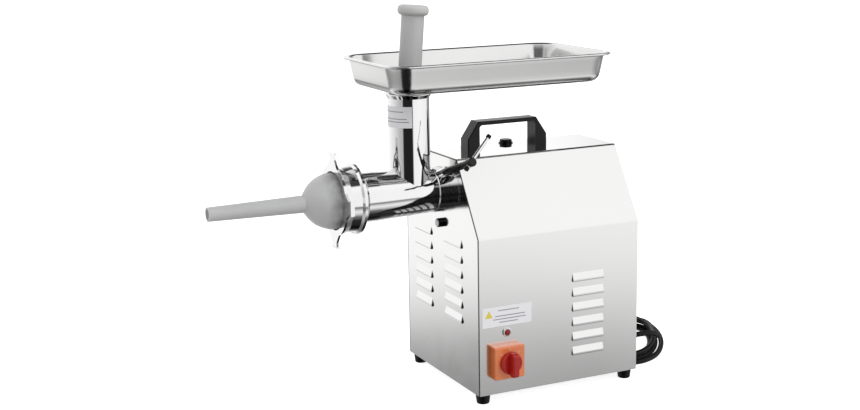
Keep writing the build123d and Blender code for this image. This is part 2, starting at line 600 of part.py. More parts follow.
def motor_shell():
    """Motor casing: tube and front bell, with the front bearing's seat."""
    shell = rod(MOTOR_R, at(MOTOR_FRONT), at(MOTOR_BACK), 0, MOTOR_Z)
    shell -= rod(SHELL_IN, at(MOTOR_FRONT + 4), at(MOTOR_BACK + 1), 0, MOTOR_Z)
    shell += rod(21, at(MOTOR_FRONT + 3), at(MOTOR_FRONT + 12), 0, MOTOR_Z)
    shell -= rod(MOTOR_BEARING[1], at(MOTOR_FRONT + 2), at(MOTOR_FRONT + 13), 0, MOTOR_Z)
    return shell - rod(11, at(MOTOR_FRONT - 1), at(MOTOR_FRONT + 3), 0, MOTOR_Z)


def motor_end_bell():
    """Rear bell with the rear bearing's seat and cooling slots."""
    bell = rod(MOTOR_R, at(MOTOR_BACK), at(MOTOR_BACK + 5), 0, MOTOR_Z)
    bell += rod(21, at(MOTOR_BACK - 8), at(MOTOR_BACK + 1), 0, MOTOR_Z)
    bell -= rod(MOTOR_BEARING[1], at(MOTOR_BACK - 9), at(MOTOR_BACK + 2), 0, MOTOR_Z)
    bell -= [rod(5, at(MOTOR_BACK - 1), at(MOTOR_BACK + 6), x, z) for x, z in screw_ring(40, 8, 0, MOTOR_Z)]
    return bell - rod(11, at(MOTOR_BACK), at(MOTOR_BACK + 6), 0, MOTOR_Z)


def motor_bearings():
    return group([
        ball_bearing(MOTOR_BEARING, MOTOR_FRONT + 2.5, MOTOR_Z),
        ball_bearing(MOTOR_BEARING, MOTOR_BACK - 8, MOTOR_Z),
    ])


def motor_stator():
    """Laminated stack fixed in the shell."""
    stack = rod(SHELL_IN, at(STACK_FROM), at(STACK_TO), 0, MOTOR_Z)
    stack -= rod(STATOR_IN, at(STACK_FROM - 1), at(STACK_TO + 1), 0, MOTOR_Z)
    slots = [rod(3.2, at(STACK_FROM - 1), at(STACK_TO + 1), x, z) for x, z in screw_ring(37, 24, 0, MOTOR_Z)]
    return stack - slots


def stator_windings():
    """End turns of the copper winding, a ring at each end of the stack."""
    out = []
    for y0, y1 in ((STACK_FROM - 8, STACK_FROM), (STACK_TO, STACK_TO + 8)):
        ring = rod(46, at(y0), at(y1), 0, MOTOR_Z) - rod(33, at(y0 - 1), at(y1 + 1), 0, MOTOR_Z)
        out.append(fillet(ring.edges().filter_by(GeomType.CIRCLE), 2))
    return group(out)


def motor_rotor():
    """Rotor core on its shaft."""
    core = rod(ROTOR_R, at(STACK_FROM), at(STACK_TO), 0, MOTOR_Z)
    return core - rod(8 + FIT, at(STACK_FROM - 1), at(STACK_TO + 1), 0, MOTOR_Z)


def motor_shaft():
    """Motor shaft with its twelve tooth pinion cut on the front end."""
    shaft = rod(8, at(GEAR_IN_AT + GEAR_IN_WIDE), at(MOTOR_BACK + 22), 0, MOTOR_Z)
    pinion = gear(MODULE_IN, TEETH_MOTOR, GEAR_IN_AT, GEAR_IN_WIDE + 1, MOTOR_Z, half_tooth(TEETH_MOTOR))
    return shaft + pinion


def cooling_fan():
    """Eight bladed fan behind the motor."""
    y0 = at(MOTOR_BACK + 9)
    fan = rod(14, y0, y0 + 14, 0, MOTOR_Z) + rod(40, y0, y0 + 1.6, 0, MOTOR_Z)
    blade = block(-1, 1, y0 + 1, y0 + 13, 12, 46)
    fan += [Location((0, 0, MOTOR_Z)) * Rotation(0, 45 * k, 0) * blade for k in range(8)]
    return fan - rod(8 + FIT, y0 - 1, y0 + 15, 0, MOTOR_Z)


def bracket_holes():
    return [(sx * 52, at(s)) for sx in (1, -1) for s in (125, 185)]


def motor_cradle():
    """Folded bracket that carries the motor on the base plate."""
    top = MOTOR_Z
    y0, y1 = at(115), at(195)
    legs = block(-46, 46, y0, y1, FLOOR_TOP, top) - block(-43, 43, y0 - 1, y1 + 1, FLOOR_TOP - 1, top + 1)
    legs += block(-60, 60, y0, y1, FLOOR_TOP, FLOOR_TOP + 3)
    legs -= rod(MOTOR_R, y0 - 5, y1 + 5, 0, MOTOR_Z)
    for x, y in bracket_holes():
        legs -= post(2.6, BASE, BASE + 10, x, y)
    return legs


def cradle_screws():
    """Screws and nuts of the motor cradle."""
    out = []
    for x, y in bracket_holes():
        low = BASE + SHEET
        out.append(post(4.4, low - 3, low, x, y) + post(2.45, low - 1, FLOOR_TOP + 9, x, y))
        nut = extrude(Location((x, y, FLOOR_TOP + 3)) * RegularPolygon(4.6, 6), 4)
        out.append(nut - post(2.5, BASE, FLOOR_TOP + 12, x, y))
    return group(out)


# ---------------------------------------------------------------- wiring
def run_capacitor():
    """Motor capacitor lying on the base plate, with two terminals."""
    z = FLOOR_TOP + 3 + CAP_R
    can = rod(CAP_R, at(70), at(150), CAP_X, z)
    can = fillet(can.edges().filter_by(GeomType.CIRCLE), 2)
    return can + [block(CAP_X + x - 3, CAP_X + x + 3, at(62), at(71), z - 0.5, z + 0.5) for x in (-6, 6)]


def capacitor_clip():
    """Spring clip under the capacitor."""
    z = FLOOR_TOP + 3 + CAP_R
    clip = rod(CAP_R + 1.5, at(95), at(115), CAP_X, z) - rod(CAP_R + 0.05, at(94), at(116), CAP_X, z)
    clip -= block(CAP_X - 30, CAP_X + 30, at(94), at(116), z + 8, z + 30)
    foot = block(CAP_X - 12, CAP_X + 12, at(95), at(115), FLOOR_TOP, FLOOR_TOP + 2)
    return clip + foot - rod(CAP_R + 0.05, at(94), at(116), CAP_X, z)


def terminal_block():
    """Three way terminal block beside the cable gland."""
    x0, y0, z0 = 72.0, at(170), FLOOR_TOP
    body = block(x0, x0 + 18, y0, y0 + 36, z0, z0 + 14)
    for k in range(3):
        y = y0 + 6 + 12 * k
        body += block(x0 + 4, x0 + 14, y - 4, y + 4, z0 + 13, z0 + 19)
        body -= post(2.2, z0 + 10, z0 + 20, x0 + 9, y)
    return body


def cable_gland():
    """Gland in the back panel: flange, inner nut and a tapered bend relief."""
    y = BACK
    gland = rod(10, y, y + 4, GLAND_X, GLAND_Z) + rod(5.9, y - 12, y + 1, GLAND_X, GLAND_Z)
    gland += xz_slab(Location((GLAND_X, GLAND_Z)) * RegularPolygon(10, 6), y - 7, y - SHEET)
    taper = Cone(7.0, CORD_D / 2 + 0.6, RELIEF)
    gland += Location((GLAND_X, y + 4 + RELIEF / 2, GLAND_Z), (-90, 0, 0)) * taper
    for k in range(3):
        y_k = y + 8 + 6.0 * k
        gland -= rod(9, y_k, y_k + 1.6, GLAND_X, GLAND_Z) - rod(4.9, y_k - 1, y_k + 3, GLAND_X, GLAND_Z)
    return gland


# ---------------------------------------------------------------- locking screw
def screw_frame():
    """Frame of the locking screw: z along it, outward; y along the machine."""
    a = radians(LOCK_TILT)
    origin = (-LOCK_OFF * sin(a), LOCK_Y, AXIS_Z + LOCK_OFF * cos(a))
    return Plane(origin, x_dir=(0, 1, 0), z_dir=(cos(a), 0, sin(a)))


def along_screw(radius, s0, s1):
    """A cylinder on the locking screw's axis between two distances."""
    frame = screw_frame()
    return frame.location * Location((0, 0, (s0 + s1) / 2)) * Cylinder(radius, s1 - s0)


def bar_frame():
    """Frame of the sliding bar: z along it, through the middle of the hub."""
    frame = screw_frame()
    mid = frame.origin + frame.z_dir * ((HUB_FROM + HUB_TO) / 2)
    up = Vector(-sin(radians(LOCK_TILT)), 0, cos(radians(LOCK_TILT)))
    a = radians(BAR_TILT)
    way = Vector(0, 1, 0) * cos(a) + up * sin(a)
    return Plane(mid, x_dir=frame.z_dir, z_dir=way)


def along_bar(radius, s0, s1):
    """A cylinder on the sliding bar's axis between two distances."""
    return bar_frame().location * Location((0, 0, (s0 + s1) / 2)) * Cylinder(radius, s1 - s0)


def locking_screw():
    """Clamping screw with a drilled hub on its outer end; thread shown as fine grooves."""
    screw = along_screw(LOCK_R, LOCK_TIP, HUB_FROM + 1)
    for k in range(16):
        s = 46 + 3.0 * k
        screw -= along_screw(LOCK_R + 1, s, s + 1.0) - along_screw(LOCK_R - 0.6, s - 1, s + 2)
    hub = along_screw(HUB_R, HUB_FROM, HUB_TO)
    hub = chamfer(hub.edges().filter_by(GeomType.CIRCLE), 1)
    return screw + hub - along_bar(BAR_R + 0.06, -20, 20)


def tommy_bar():
    """Bar that slides in the screw's hub."""
    return along_bar(BAR_R, -BAR_DOWN, BAR_UP)


def bar_caps():
    """Black end caps that keep the bar in the hub."""
    out = []
    for s0, s1 in ((-BAR_DOWN - CAP_LONG, -BAR_DOWN), (BAR_UP, BAR_UP + CAP_LONG)):
        cap = along_bar(CAP_R_BAR, s0, s1)
        out.append(fillet(cap.edges().filter_by(GeomType.CIRCLE), 1.1))
    return group(out)


# ---------------------------------------------------------------- grinding head
def grinding_head():
    """Polished barrel, neck and feed tube, welded into one piece."""
    f = at
    outside = turned([
        (0, f(-BARREL_FRONT)), (39, f(-BARREL_FRONT)), (39, f(-120)),
        (BARREL_R, f(-111)), (BARREL_R, f(-95)),
        (BARREL_REAR_R, f(-COLLAR_PROUD - 3)), (BARREL_REAR_R, f(-COLLAR_PROUD - 0.2)),
        (NECK_R, f(-COLLAR_PROUD - 0.2)), (NECK_R, f(NECK_DEPTH)), (0, f(NECK_DEPTH)),
    ])
    inside = turned([
        (0, f(-BARREL_FRONT - 1)), (PLATE_R + 0.1, f(-BARREL_FRONT - 1)), (PLATE_R + 0.1, f(-121)),
        (29, f(-121)), (29, f(-95)), (25.5, f(-22)), (21, f(-22)), (21, f(NECK_DEPTH + 1)),
        (0, f(NECK_DEPTH + 1)),
    ])
    tube = post(TUBE_R, AXIS_Z, TUBE_TOP, 0, TUBE_Y)
    flare = Location((0, TUBE_Y, TUBE_TOP - 0.5 - TUBE_LIP_H / 2)) * Cone(TUBE_R, TUBE_LIP_R, TUBE_LIP_H)
    lip = flare + post(TUBE_LIP_R, TUBE_TOP - 0.5, TUBE_TOP, 0, TUBE_Y)
    body = outside + tube + lip
    body -= inside
    return body - post(TUBE_R - TUBE_WALL, AXIS_Z, TUBE_TOP + 1, 0, TUBE_Y)


def head_bush():
    """Bronze bush of the auger's journal in the neck."""
    bush = rod(20.97, at(-22 + 0.1), at(NECK_DEPTH), 0, AXIS_Z)
    return bush - rod(14.0 + FIT, at(-24), at(NECK_DEPTH + 1), 0, AXIS_Z)


def auger_flight(r_out, y0, y1, turns, r_in=12.0):
    """Helical flight: a sector of a disc carried along y while it turns."""
    span = 70.0
    arc = [(r_out * cos(radians(a)), r_out * sin(radians(a))) for a in (0, span / 2, span)]
    inner = [(r_in * 0.7 * cos(radians(a)), r_in * 0.7 * sin(radians(a))) for a in (span, 0)]
    edge = ThreePointArc(*arc) + Polyline(arc[2], inner[0], inner[1], arc[0])
    plane = Plane((0, y1, AXIS_Z), x_dir=(1, 0, 0), z_dir=(0, -1, 0))
    section = plane * make_face(edge)
    way = Vector(0, y0 - y1, 0)
    return Solid.extrude_linear_with_rotation(section.face(), plane.origin, way, 360 * turns)


def auger():
    """Feed screw with a square stub for the knife in front and a square drive behind."""
    f = at
    core = turned([
        (0, f(-121.2)), (16, f(-121.2)), (14, f(-60)), (16, f(-22.4)), (14, f(-22.4)), (14, f(9)), (0, f(9)),
    ])
    core += auger_flight(24.6, f(-121.2), f(-23), 2.6)
    h, k = SQUARE / 2, KNIFE_SQUARE / 2
    core += block(-h, h, f(8), f(27), AXIS_Z - h, AXIS_Z + h) & rod(12.4, f(8), f(27), 0, AXIS_Z)
    core += block(-k, k, f(-121.2 - KNIFE_THICK), f(-121), AXIS_Z - k, AXIS_Z + k)
    return core + rod(PIN_R, f(-BARREL_FRONT - 2), f(-121), 0, AXIS_Z)


def knife():
    """Four armed cutting knife on the auger's square."""
    y1, y0 = at(-121.4), at(-121.2 - KNIFE_THICK)
    disc = rod(33.5, y0, y1, 0, AXIS_Z)
    arms = [
        Location((0, 0, AXIS_Z)) * Rotation(0, 90 * k, 0) * block(-5.5, 4.5, y0, y1, 0, 40) for k in range(4)
    ]
    hub = rod(12.5, y0, y1, 0, AXIS_Z)
    cross = arms[0] + arms[1] + arms[2] + arms[3]
    side = KNIFE_SQUARE / 2 + 0.1
    return (cross & disc) + hub - block(-side, side, y0 - 1, y1 + 1, AXIS_Z - side, AXIS_Z + side)


def grinding_plate():
    """Round plate with five millimetre holes and a bore for the auger's pin."""
    y0, y1 = at(-BARREL_FRONT), at(-121.6 - KNIFE_THICK)
    plate = rod(PLATE_R, y0, y1, 0, AXIS_Z)
    holes = [
        rod(2.5, y0 - 1, y1 + 1, x, z)
        for radius, count in ((13.5, 10), (20.5, 16), (27.5, 22))
        for x, z in screw_ring(radius, count, 0, AXIS_Z)
    ]
    return plate - holes - rod(PIN_R + FIT, y0 - 1, y1 + 1, 0, AXIS_Z)


def ring_nut():
    """Ring nut: bowl with a rolled rear bead and a front flange with four ears."""
    f, r = at, RING_R
    bowl = turned([
        (r - 5, f(-RING_FRONT)), (r + 1, f(-RING_FRONT)), (r + 1, f(-RING_FRONT + 4)), (r - 1, f(-137)),
        (r, f(-125)), (r + 2.8, f(-122.5)), (r + 2.8, f(-119)), (r + 1, f(-RING_BACK)),
        (r - 2.6, f(-RING_BACK)), (r - 2.6, f(-141.5)), (36.3, f(-141.5)), (36.3, f(-144)),
    ])
    flange = Location((0, AXIS_Z)) * Circle(44.5)
    for k in range(4):
        right = [(19, 38), (12, 46.5), (8, 52), (7.6, EAR_REACH - 2.5), (9, EAR_REACH)]
        ear = Polygon(*right, *[(-x, z) for x, z in reversed(right)], align=None)
        flange += Location((0, AXIS_Z)) * Rotation(0, 0, 90 * k) * ear
    flange -= Location((0, AXIS_Z)) * Circle(37.5)
    flange = xz_slab(flange, f(-RING_FRONT), f(-RING_FRONT + 3))
    lips = [
        Location((0, 0, AXIS_Z)) * Rotation(0, 90 * k, 0)
        * block(-8.6, 8.6, f(-RING_FRONT - 0.6), f(-RING_FRONT + 4.6), EAR_REACH - 2.2, EAR_REACH + 0.2)
        for k in range(4)
    ]
    return bowl + flange + lips


def dome_line(shift, thinner):
    """The dome's section line, moved back by shift at its root and thinner by a wall."""
    span = FUNNEL_BASE - FUNNEL_ROOT
    points = []
    for y, r in FUNNEL_CURVE:
        back = shift * (FUNNEL_BASE - y) / span
        points.append((0, at(y + back), AXIS_Z + r - thinner))
    return Spline(*reversed(points))


def stuffing_funnel():
    """Moulded stuffing funnel held against the plate by the ring nut."""
    root_r, base_r, tip_r = FUNNEL_CURVE[0][1], FUNNEL_CURVE[-1][1], 8.8
    out_wire = dome_line(0, 0) + Polyline(
        (0, at(FUNNEL_ROOT), AXIS_Z + root_r), (0, at(-SPOUT_TIP), AXIS_Z + tip_r),
        (0, at(-SPOUT_TIP), AXIS_Z), (0, at(-138.4), AXIS_Z), (0, at(-138.4), AXIS_Z + 38.6),
        (0, at(-141.2), AXIS_Z + 38.6), (0, at(-141.2), AXIS_Z + base_r),
        (0, at(FUNNEL_BASE), AXIS_Z + base_r),
    )
    wall, root = FUNNEL_WALL, FUNNEL_ROOT + 1.6
    in_wire = dome_line(1.6, wall) + Polyline(
        (0, at(root), AXIS_Z + root_r - wall), (0, at(-SPOUT_TIP - 1), AXIS_Z + tip_r - wall),
        (0, at(-SPOUT_TIP - 1), AXIS_Z), (0, at(-137), AXIS_Z), (0, at(-137), AXIS_Z + base_r - wall),
        (0, at(FUNNEL_BASE), AXIS_Z + base_r - wall),
    )
    axis = Axis((0, 0, AXIS_Z), (0, 1, 0))
    return revolve(make_face(out_wire), axis) - revolve(make_face(in_wire), axis)


def tube_label():
    """Blank adhesive label wrapped round the front of the feed tube."""
    z0, z1 = BASE + 334.5, BASE + 361.0
    skin = post(TUBE_R + 0.3, z0, z1, 0, TUBE_Y) - post(TUBE_R, z0 - 1, z1 + 1, 0, TUBE_Y)
    keep = block(-30, 30, TUBE_Y - 40, TUBE_Y - 7.0, z0 - 1, z1 + 1)
    return skin & keep


# ---------------------------------------------------------------- tray and pusher
def tray_slab(inset, z0, z1, slope, corner):
    """Rounded slab that widens upward, its outline inset from the rim's."""
    w, l = 2 * (TRAY_HALF_W - inset), 2 * (TRAY_HALF_L - inset)
    sketch = Location((0, TRAY_Y, z0)) * RectangleRounded(w, l, corner)
    return extrude(sketch, z1 - z0, taper=-slope) if slope else extrude(sketch, z1 - z0)


def feed_tray():
    """Deep drawn tray with a flat rim, and a neck whose shoulder rests on the feed tube's lip."""
    run = (TRAY_RIM - TRAY_BOTTOM) * tan(radians(TRAY_SLOPE))
    foot, corner = TRAY_LIP + run, TRAY_CORNER - TRAY_LIP - run + 6
    outer = tray_slab(foot, TRAY_BOTTOM, TRAY_RIM, TRAY_SLOPE, corner)
    outer = fillet(outer.faces().sort_by(Axis.Z)[0].edges(), TRAY_BEND)
    floor, skin = TRAY_BOTTOM + TRAY_THICK, foot + TRAY_THICK
    inner = tray_slab(skin, floor, TRAY_RIM + 6, TRAY_SLOPE, corner - TRAY_THICK)
    inner = fillet(inner.faces().sort_by(Axis.Z)[0].edges(), TRAY_BEND - TRAY_THICK)
    rim = tray_slab(0, TRAY_RIM - 1.6, TRAY_RIM, 0, TRAY_CORNER)
    hem = tray_slab(0, TRAY_RIM - 3.5, TRAY_RIM, 0, TRAY_CORNER)
    hem -= tray_slab(1.2, TRAY_RIM - 5, TRAY_RIM + 1, 0, TRAY_CORNER - 1.2)
    neck = post(TRAY_NECK_R, TRAY_BOTTOM - TRAY_NECK_DEPTH, TRAY_BOTTOM + 1, 0, TUBE_Y)
    neck += post(TRAY_SHOULDER_R, TUBE_TOP + GAP, TRAY_BOTTOM + 1, 0, TUBE_Y)
    bore = post(TRAY_NECK_R - 1, TRAY_BOTTOM - TRAY_NECK_DEPTH - 1, TRAY_BOTTOM + 10, 0, TUBE_Y)
    return outer + rim + hem - inner + neck - bore


def pusher():
    """Stomper with a round cap, leaning in the feed tube."""
    length = PUSHER_TOP - PUSHER_BOTTOM
    shaft = Location((0, 0, -length / 2)) * Cylinder(PUSHER_R, length - 4)
    shaft = fillet(shaft.edges().filter_by(GeomType.CIRCLE).sort_by(Axis.Z)[0], 3)
    cap = Location((0, 0, -PUSHER_CAP_H / 2)) * Cylinder(PUSHER_CAP_R, PUSHER_CAP_H)
    cap = fillet(cap.edges().filter_by(GeomType.CIRCLE), 5.5)
    lean = Location((0, PUSHER_CAP_Y, PUSHER_TOP), (-PUSHER_LEAN, 0, 0))
    return lean * (cap + shaft)


# ---------------------------------------------------------------- mains lead
def mains_cord():
    """Round cable along straight runs joined by tangent arcs."""
    points = [Vector(*p) for p in CORD_ROUTE]
    radii = []
    for a, b, c in zip(points, points[1:], points[2:]):
        before, after = b - a, c - b
        half = radians(before.get_angle(after)) / 2
        radii.append(0.45 * min(before.length, after.length) / tan(half))
    print("cord radii", [round(r, 1) for r in radii])
    path = FilletPolyline(*points, radius=radii)
    start = Plane(origin=path @ 0, z_dir=path % 0)
    tube = sweep(start * Circle(CORD_D / 2), path=path)
    expected = path.length * pi * CORD_D**2 / 4
    print("cord length", round(path.length, 1), "volume ratio", round(tube.volume / expected, 4))
    return tube


def cord_coil():
    """Outer shape of the loose oval coil that lies behind the case."""
    ring = Ellipse(COIL_A, COIL_B) - Ellipse(COIL_A - COIL_BAND, COIL_B - COIL_BAND)
    coil = extrude(ring, COIL_H)
    return COIL_PLACE * chamfer(coil.edges().group_by(Axis.Z)[-1], 4)


def pin_lines():
    """The two pins' y and their common z, in the coil's frame."""
    return [(PLUG_Y_IN_COIL + k * PIN_SPACING / 2, COIL_H + PLUG_H / 2) for k in (-1, 1)]


def mains_plug():
    """Moulded mains plug, lying on the coil, with a tapered cable end."""
    y, z = PLUG_Y_IN_COIL, COIL_H + PLUG_H / 2
    half = PLUG_L / 2
    body = block(-half, half, y - PLUG_W / 2, y + PLUG_W / 2, COIL_H, COIL_H + PLUG_H)
    body = fillet(body.edges().filter_by(Axis.X), 9)
    body = fillet(body.edges().group_by(Axis.X)[0], 5)
    body += Location((-half - 9, y, z), (0, -90, 0)) * Cone(7.5, CORD_D / 2 + 0.8, 20)
    for pin_y, pin_z in pin_lines():
        body -= stub(2.4, half - 6, half + 1, pin_y, pin_z)
    return COIL_PLACE * body


def plug_pins():
    """Two round pins with rounded ends."""
    out = []
    for y, z in pin_lines():
        pin = stub(2.35, PLUG_L / 2 - 6, PLUG_L / 2 + PIN_L, y, z)
        out.append(COIL_PLACE * fillet(pin.edges().filter_by(GeomType.CIRCLE).sort_by(Axis.X)[-1], 1.5))
    return group(out)


def build():
    """Every sub-part, by name."""
    return {
        "wrap_cover": wrap_cover(), "front_panel": front_panel(), "back_panel": back_panel(),
        "base_plate": base_plate(), "panel_screws": panel_screws(), "rubber_feet": rubber_feet(),
        "foot_screws": foot_screws(), "carry_handle": carry_handle(), "handle_screws": handle_screws(),
        "breather_plug": breather_plug(), "switch_box": switch_box(), "switch_body": switch_body(),
        "switch_knob": switch_knob(), "lamp_bezel": lamp_bezel(), "lamp_lens": lamp_lens(),
        "button_bezel": button_bezel(), "reset_button": reset_button(), "side_label": side_label(),
        "gearbox_body": gearbox_body(), "gearbox_cover": gearbox_cover(), "gearbox_screws": gearbox_screws(),
        "socket_collar": socket_collar(), "collar_screws": collar_screws(),
        "gearbox_bearings": gearbox_bearings(), "output_shaft": output_shaft(), "output_gear": output_gear(),
        "layshaft": layshaft(), "layshaft_gear": layshaft_gear(), "motor_shell": motor_shell(),
        "motor_end_bell": motor_end_bell(), "motor_bearings": motor_bearings(),
        "motor_stator": motor_stator(),
        "stator_windings": stator_windings(), "motor_rotor": motor_rotor(), "motor_shaft": motor_shaft(),
        "cooling_fan": cooling_fan(), "motor_cradle": motor_cradle(), "cradle_screws": cradle_screws(),
        "run_capacitor": run_capacitor(), "capacitor_clip": capacitor_clip(),
        "terminal_block": terminal_block(), "cable_gland": cable_gland(), "locking_screw": locking_screw(),
        "tommy_bar": tommy_bar(), "bar_caps": bar_caps(), "grinding_head": grinding_head(),
        "head_bush": head_bush(), "auger": auger(), "knife": knife(), "grinding_plate": grinding_plate(),
        "ring_nut": ring_nut(), "stuffing_funnel": stuffing_funnel(), "tube_label": tube_label(),
        "feed_tray": feed_tray(), "pusher": pusher(), "mains_cord": mains_cord(), "cord_coil": cord_coil(),
        "mains_plug": mains_plug(), "plug_pins": plug_pins(),
    }


for node, shape in build().items():
    save(shape, node)
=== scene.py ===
"""Looks of the bench meat grinder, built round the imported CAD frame.

Metres, +Z up, the discharge end faces -Y and the controls face +X, as in the frame.
"""

import json
from math import cos, pi, radians, sin, tan, tau

import bpy
from mathutils import Matrix, Vector


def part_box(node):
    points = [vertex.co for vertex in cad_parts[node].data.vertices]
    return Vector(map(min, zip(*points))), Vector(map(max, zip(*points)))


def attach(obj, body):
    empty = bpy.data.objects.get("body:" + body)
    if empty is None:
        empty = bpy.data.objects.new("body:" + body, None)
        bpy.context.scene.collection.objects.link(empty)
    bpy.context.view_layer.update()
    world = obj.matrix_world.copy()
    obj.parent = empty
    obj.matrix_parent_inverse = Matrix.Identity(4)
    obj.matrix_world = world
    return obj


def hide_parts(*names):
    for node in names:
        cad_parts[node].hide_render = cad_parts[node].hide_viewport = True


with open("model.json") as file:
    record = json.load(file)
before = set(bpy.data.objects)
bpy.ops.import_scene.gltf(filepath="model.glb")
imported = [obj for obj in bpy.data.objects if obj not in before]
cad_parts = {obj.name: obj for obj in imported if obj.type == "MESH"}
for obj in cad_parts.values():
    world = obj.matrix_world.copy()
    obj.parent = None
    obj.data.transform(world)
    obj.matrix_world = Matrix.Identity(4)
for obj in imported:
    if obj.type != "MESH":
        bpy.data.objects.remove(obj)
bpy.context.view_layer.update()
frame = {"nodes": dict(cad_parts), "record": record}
nodes = frame["nodes"]
scene = bpy.context.scene
MM = 0.001


# ---------------------------------------------------------------- places read from the frame
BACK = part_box("back_panel")[1].y
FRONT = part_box("wrap_cover")[0].y
tube_low, tube_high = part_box("tube_label")
tray_low, tray_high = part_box("feed_tray")
switch_low, switch_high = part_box("switch_box")
TUBE_X = (tray_low.x + tray_high.x) / 2
TUBE_Y = (tray_low.y + tray_high.y) / 2 - 96.4 * MM


# ---------------------------------------------------------------- camera
CAMERA_PLACE = (1.5769, -0.8721, 0.6136)
AZIMUTH, ELEVATION, ROLL = 64.84, 12.05, -0.99
SENSOR, LENS = 36.0, 58.1


def add_camera():
    """The photograph's viewing angle, from the right of the discharge end and a little above."""
    azimuth, elevation, roll = radians(AZIMUTH), radians(ELEVATION), radians(ROLL)
    back = Vector((sin(azimuth) * cos(elevation), -cos(azimuth) * cos(elevation), sin(elevation)))
    level = Vector((cos(azimuth), sin(azimuth), 0))
    rise = back.cross(level)
    right = cos(roll) * level + sin(roll) * rise
    up = cos(roll) * rise - sin(roll) * level
    data = bpy.data.cameras.new("camera")
    data.sensor_width, data.lens = SENSOR, LENS
    data.clip_start, data.clip_end = 0.01, 200.0
    camera = bpy.data.objects.new("camera", data)
    turn = Matrix((right, up, back)).transposed().to_4x4()
    camera.matrix_world = Matrix.Translation(CAMERA_PLACE) @ turn
    scene.collection.objects.link(camera)
    scene.camera = camera


# ---------------------------------------------------------------- mesh helpers
def new_object(name, mesh, body, material):
    """A mesh object that rides on a body and wears one material."""
    piece = bpy.data.objects.new(name, mesh)
    scene.collection.objects.link(piece)
    mesh.materials.append(material)
    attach(piece, body)
    return piece


def mesh_of(name, points, faces, smooth=True):
    """A mesh from points and faces."""
    mesh = bpy.data.meshes.new(name)
    mesh.from_pydata([tuple(p) for p in points], [], faces)
    mesh.validate()
    mesh.polygons.foreach_set("use_smooth", [smooth] * len(mesh.polygons))
    mesh.update()
    return mesh


def rings_mesh(name, rings):
    """Quads between rings of equally many points, with the last ring joined to the first."""
    count = len(rings[0])
    points = [p for ring in rings for p in ring]
    faces = []
    for a in range(len(rings)):
        b = (a + 1) % len(rings)
        for i in range(count):
            j = (i + 1) % count
            faces.append((a * count + i, a * count + j, b * count + j, b * count + i))
    return mesh_of(name, points, faces)


def sharpen(piece, bevel=0.0):
    """Clean normals, with rounded edges where a bevel width is given."""
    if bevel:
        rounding = piece.modifiers.new("rounding", "BEVEL")
        rounding.width, rounding.segments, rounding.limit_method = bevel, 3, "ANGLE"
        rounding.angle_limit = radians(35)
        rounding.harden_normals = True
    normals = piece.modifiers.new("normals", "WEIGHTED_NORMAL")
    normals.keep_sharp = True
    normals.weight = 80


def around(count):
    """Evenly spaced angles of one full turn."""
    return [tau * k / count for k in range(count)]


# ---------------------------------------------------------------- material helpers
class Look:
    """A principled material with its node tree at hand."""

    def __init__(self, name, **settings):
        self.material = bpy.data.materials.new(name)
        self.material.use_nodes = True
        self.tree = self.material.node_tree
        self.shader = self.tree.nodes["Principled BSDF"]
        for socket, value in settings.items():
            self.shader.inputs[socket.replace("_", " ")].default_value = value
        self.coords = self.add("ShaderNodeTexCoord").outputs["Object"]

    def add(self, kind, **inputs):
        """A node with its inputs set or linked; i0, i1 name an input by its number."""
        node = self.tree.nodes.new(kind)
        for key, value in inputs.items():
            numbered = key[0] == "i" and key[1:].isdigit()
            socket = node.inputs[int(key[1:]) if numbered else key.replace("_", " ")]
            if isinstance(value, bpy.types.NodeSocket):
                self.tree.links.new(value, socket)
            else:
                socket.default_value = value
        return node

    def scaled(self, stretch):
        """Object coordinates, stretched along each axis."""
        return self.add("ShaderNodeMapping", Vector=self.coords, Scale=stretch).outputs["Vector"]

    def noise(self, scale, detail=3.0, stretch=(1, 1, 1), rough=0.55, distortion=0.0):
        node = self.add("ShaderNodeTexNoise", Vector=self.scaled(stretch), Scale=scale, Detail=detail,
                        Roughness=rough, Distortion=distortion)
        return node.outputs["Fac"]

    def fit(self, value, low, high, start=0.3, end=0.7):
        """The value's range from start to end, mapped to low to high and clamped."""
        node = self.add("ShaderNodeMapRange", Value=value)
        for key, number in (("From Min", start), ("From Max", end), ("To Min", low), ("To Max", high)):
            node.inputs[key].default_value = number
        return node.outputs["Result"]

    def blend(self, factor, first, second):
        """A colour between the first and the second."""
        node = self.tree.nodes.new("ShaderNodeMix")
        node.data_type = "RGBA"
        for index, value in ((0, factor), (6, first), (7, second)):
            if isinstance(value, bpy.types.NodeSocket):
                self.tree.links.new(value, node.inputs[index])
            else:
                node.inputs[index].default_value = value if index == 0 else (*value, 1.0)
        return node.outputs[2]

    def math(self, operation, a, b=0.0):
        node = self.add("ShaderNodeMath", i0=a, i1=b)
        node.operation = operation
        return node.outputs[0]

    def xyz(self):
        split = self.add("ShaderNodeSeparateXYZ", Vector=self.coords)
        return split.outputs["X"], split.outputs["Y"], split.outputs["Z"]

    def colour(self, value):
        self.tree.links.new(value, self.shader.inputs["Base Color"])

    def roughness(self, value):
        self.tree.links.new(value, self.shader.inputs["Roughness"])

    def bump(self, height, strength, distance=0.0002):
        node = self.add("ShaderNodeBump", Height=height, Strength=strength, Distance=distance)
        self.tree.links.new(node.outputs["Normal"], self.shader.inputs["Normal"])


def tinted(colour, factor):
    """The colour, brighter or darker."""
    return tuple(c * factor for c in colour)


